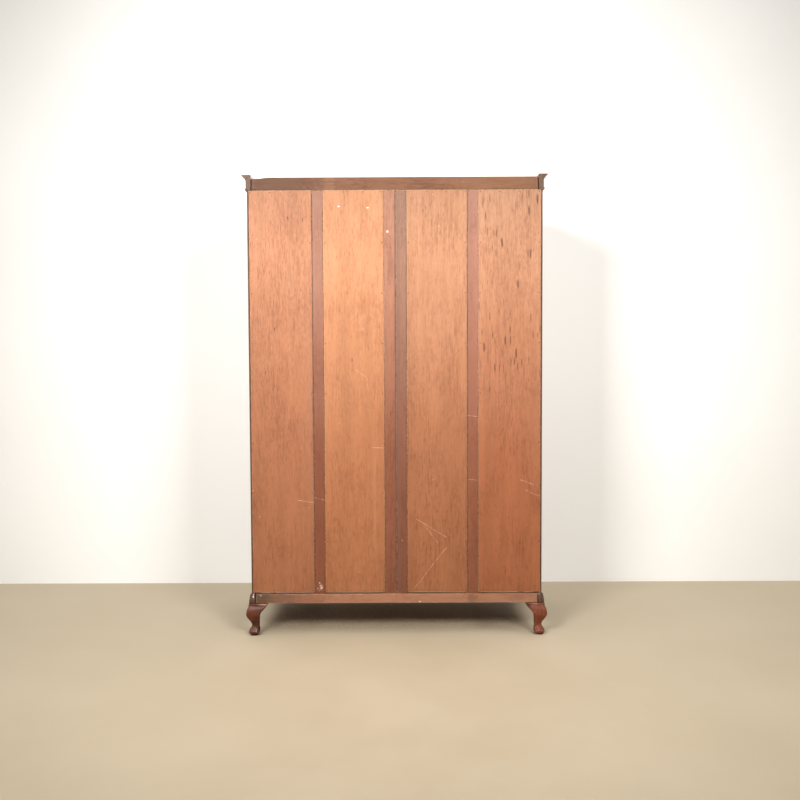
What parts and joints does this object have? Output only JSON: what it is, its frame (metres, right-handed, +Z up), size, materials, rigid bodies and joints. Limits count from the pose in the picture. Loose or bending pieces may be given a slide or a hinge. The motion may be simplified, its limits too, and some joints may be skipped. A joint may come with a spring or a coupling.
{
  "type": "armoire",
  "caption": "Free-standing double-door armoire on short cabriole legs, with a framed plywood back, moulded cornice and base, hat shelf, hanging rail, lock and pendant handles.",
  "frame": {"origin": "on the floor, under the middle of the case", "axes": "+Z up; -Y the way the doors face; +Y the framed back; +X to the right of someone facing the doors"},
  "size_m": [1.264, 0.591, 1.922],
  "materials": {
    "mahogany_polished": "dark red-brown polish, worn at the edges",
    "mahogany_figured": "figured veneer, polished",
    "back_plywood": "thin plywood with upright grain, stained, dry and scratched",
    "back_frame_wood": "stained solid wood, pinker and darker than the plywood, matt",
    "backing_board": "plain board with lengthwise grain, blotchy stain, matt",
    "interior_oak": "plain, thinly varnished",
    "brass_aged": "aged, lightly tarnished",
    "steel_aged": "dull, darkened"
  },
  "bodies": {
    "carcass": {"back_muntin_left": "back_frame_wood", "back_muntin_right": "back_frame_wood", "back_panel_inner_left": "back_plywood", "back_panel_inner_right": "back_plywood", "back_panel_outer_left": "back_plywood", "back_panel_outer_right": "back_plywood", "back_stile_left": "back_frame_wood", "back_stile_right": "back_frame_wood", "base_rail_front": "mahogany_polished", "base_rail_left": "mahogany_polished", "base_rail_rear": "backing_board", "base_rail_right": "mahogany_polished", "bottom_board": "interior_oak", "cornice_front": "mahogany_polished", "cornice_left": "mahogany_polished", "cornice_rear_board": "backing_board", "cornice_right": "mahogany_polished", "hanging_rail": "brass_aged", "hat_shelf": "interior_oak", "hinge_lower_case_leaf_left": "brass_aged", "hinge_lower_case_leaf_right": "brass_aged", "hinge_lower_pin_left": "steel_aged", "hinge_lower_pin_right": "steel_aged", "hinge_upper_case_leaf_left": "brass_aged", "hinge_upper_case_leaf_right": "brass_aged", "hinge_upper_pin_left": "steel_aged", "hinge_upper_pin_right": "steel_aged", "leg_front_left": "mahogany_polished", "leg_front_right": "mahogany_polished", "leg_rear_left": "mahogany_polished", "leg_rear_right": "mahogany_polished", "rail_socket_left": "brass_aged", "rail_socket_right": "brass_aged", "side_left": "mahogany_polished", "side_right": "mahogany_polished", "top_board": "backing_board"},
    "door_left": {"door_bottom_rail_left": "mahogany_polished", "door_hinge_stile_left": "mahogany_polished", "door_meeting_stile_left": "mahogany_polished", "door_panel_left": "mahogany_figured", "door_top_rail_left": "mahogany_polished", "handle_plate_left": "brass_aged", "hinge_lower_door_leaf_left": "brass_aged", "hinge_upper_door_leaf_left": "brass_aged"},
    "door_right": {"door_bottom_rail_right": "mahogany_polished", "door_hinge_stile_right": "mahogany_polished", "door_meeting_stile_right": "mahogany_polished", "door_panel_right": "mahogany_figured", "door_top_rail_right": "mahogany_polished", "escutcheon": "brass_aged", "handle_plate_right": "brass_aged", "hinge_lower_door_leaf_right": "brass_aged", "hinge_upper_door_leaf_right": "brass_aged", "lock_case": "steel_aged"},
    "key": {"key": "steel_aged"},
    "lock_bolt": {"lock_bolt": "steel_aged"},
    "flush_bolt_top": {"flush_bolt_top": "brass_aged"},
    "flush_bolt_bottom": {"flush_bolt_bottom": "brass_aged"},
    "handle_drop_left": {"handle_drop_left": "brass_aged"},
    "handle_drop_right": {"handle_drop_right": "brass_aged"}
  },
  "joints": [
    {"name": "door_left_hinge", "type": "hinge", "parent": "carcass", "child": "door_left", "pos_m": [-0.587, -0.2715, 1.01865], "axis": [0, 0, -1], "range_deg": [0, 170]},
    {"name": "door_right_hinge", "type": "hinge", "parent": "carcass", "child": "door_right", "pos_m": [0.587, -0.2715, 1.01865], "axis": [0, 0, 1], "range_deg": [0, 170]},
    {"name": "key_turn", "type": "hinge", "parent": "door_right", "child": "key", "pos_m": [0.028, -0.2665, 1.046], "axis": [0, -1, 0], "range_deg": [0, 360]},
    {"name": "lock_bolt_slide", "type": "slide", "parent": "door_right", "child": "lock_bolt", "axis": [-1, 0, 0], "range_m": [0, 0.009]},
    {"name": "flush_bolt_top_slide", "type": "slide", "parent": "door_left", "child": "flush_bolt_top", "axis": [0, 0, 1], "range_m": [0, 0.012]},
    {"name": "flush_bolt_bottom_slide", "type": "slide", "parent": "door_left", "child": "flush_bolt_bottom", "axis": [0, 0, -1], "range_m": [0, 0.012]},
    {"name": "handle_drop_left_swing", "type": "hinge", "parent": "door_left", "child": "handle_drop_left", "pos_m": [-0.037, -0.2785, 0.95], "axis": [-1, 0, 0], "range_deg": [0, 80]},
    {"name": "handle_drop_right_swing", "type": "hinge", "parent": "door_right", "child": "handle_drop_right", "pos_m": [0.037, -0.2785, 0.95], "axis": [-1, 0, 0], "range_deg": [0, 80]}
  ],
  "couplings": [
    {"joint": "lock_bolt_slide", "follows": "key_turn", "m_per_rad": 0.0014324}
  ]
}
